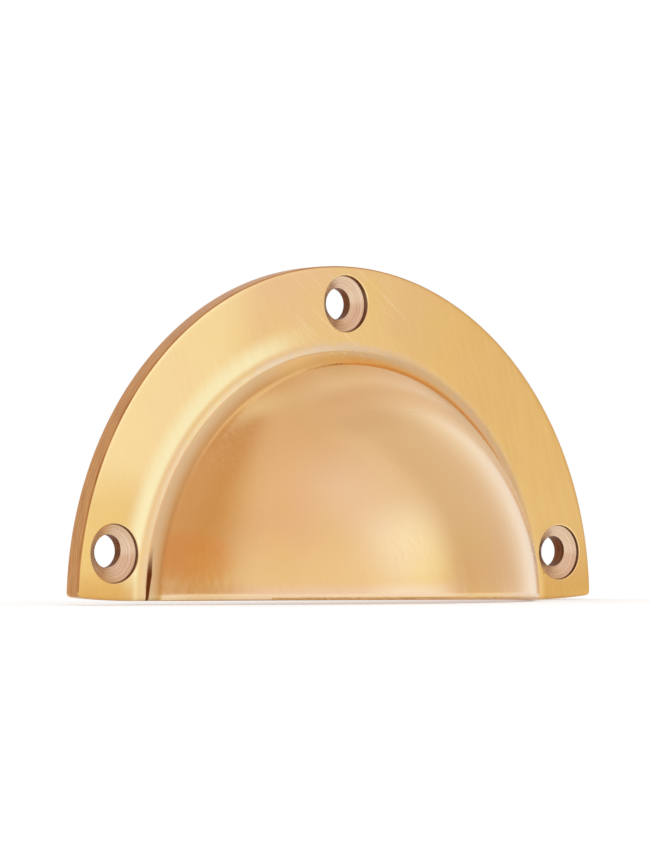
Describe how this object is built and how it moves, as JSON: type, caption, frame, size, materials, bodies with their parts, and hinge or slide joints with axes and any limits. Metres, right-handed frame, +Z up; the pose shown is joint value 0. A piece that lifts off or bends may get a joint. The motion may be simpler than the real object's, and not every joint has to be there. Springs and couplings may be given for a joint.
{
  "type": "cup pull",
  "caption": "Half-round cup pull: a hollow hood for the fingertips rises through a fillet from a flat flange with countersunk screw holes.",
  "frame": {"origin": "middle of the bounding box in X and Y, at its lowest point in Z: under the open mouth of the hood, on the ground bottom edge", "axes": "+X runs across the pull, towards the right foot of someone facing its front. +Y points from the hood into the drawer front that the flat back lies on. +Z points up, from the open mouth towards the top screw hole."},
  "size_m": [0.095, 0.0246, 0.0475],
  "materials": {
    "brass": "satin-polished cast brass"
  },
  "bodies": {
    "root": {"cast_pull": "brass"}
  },
  "joints": []
}
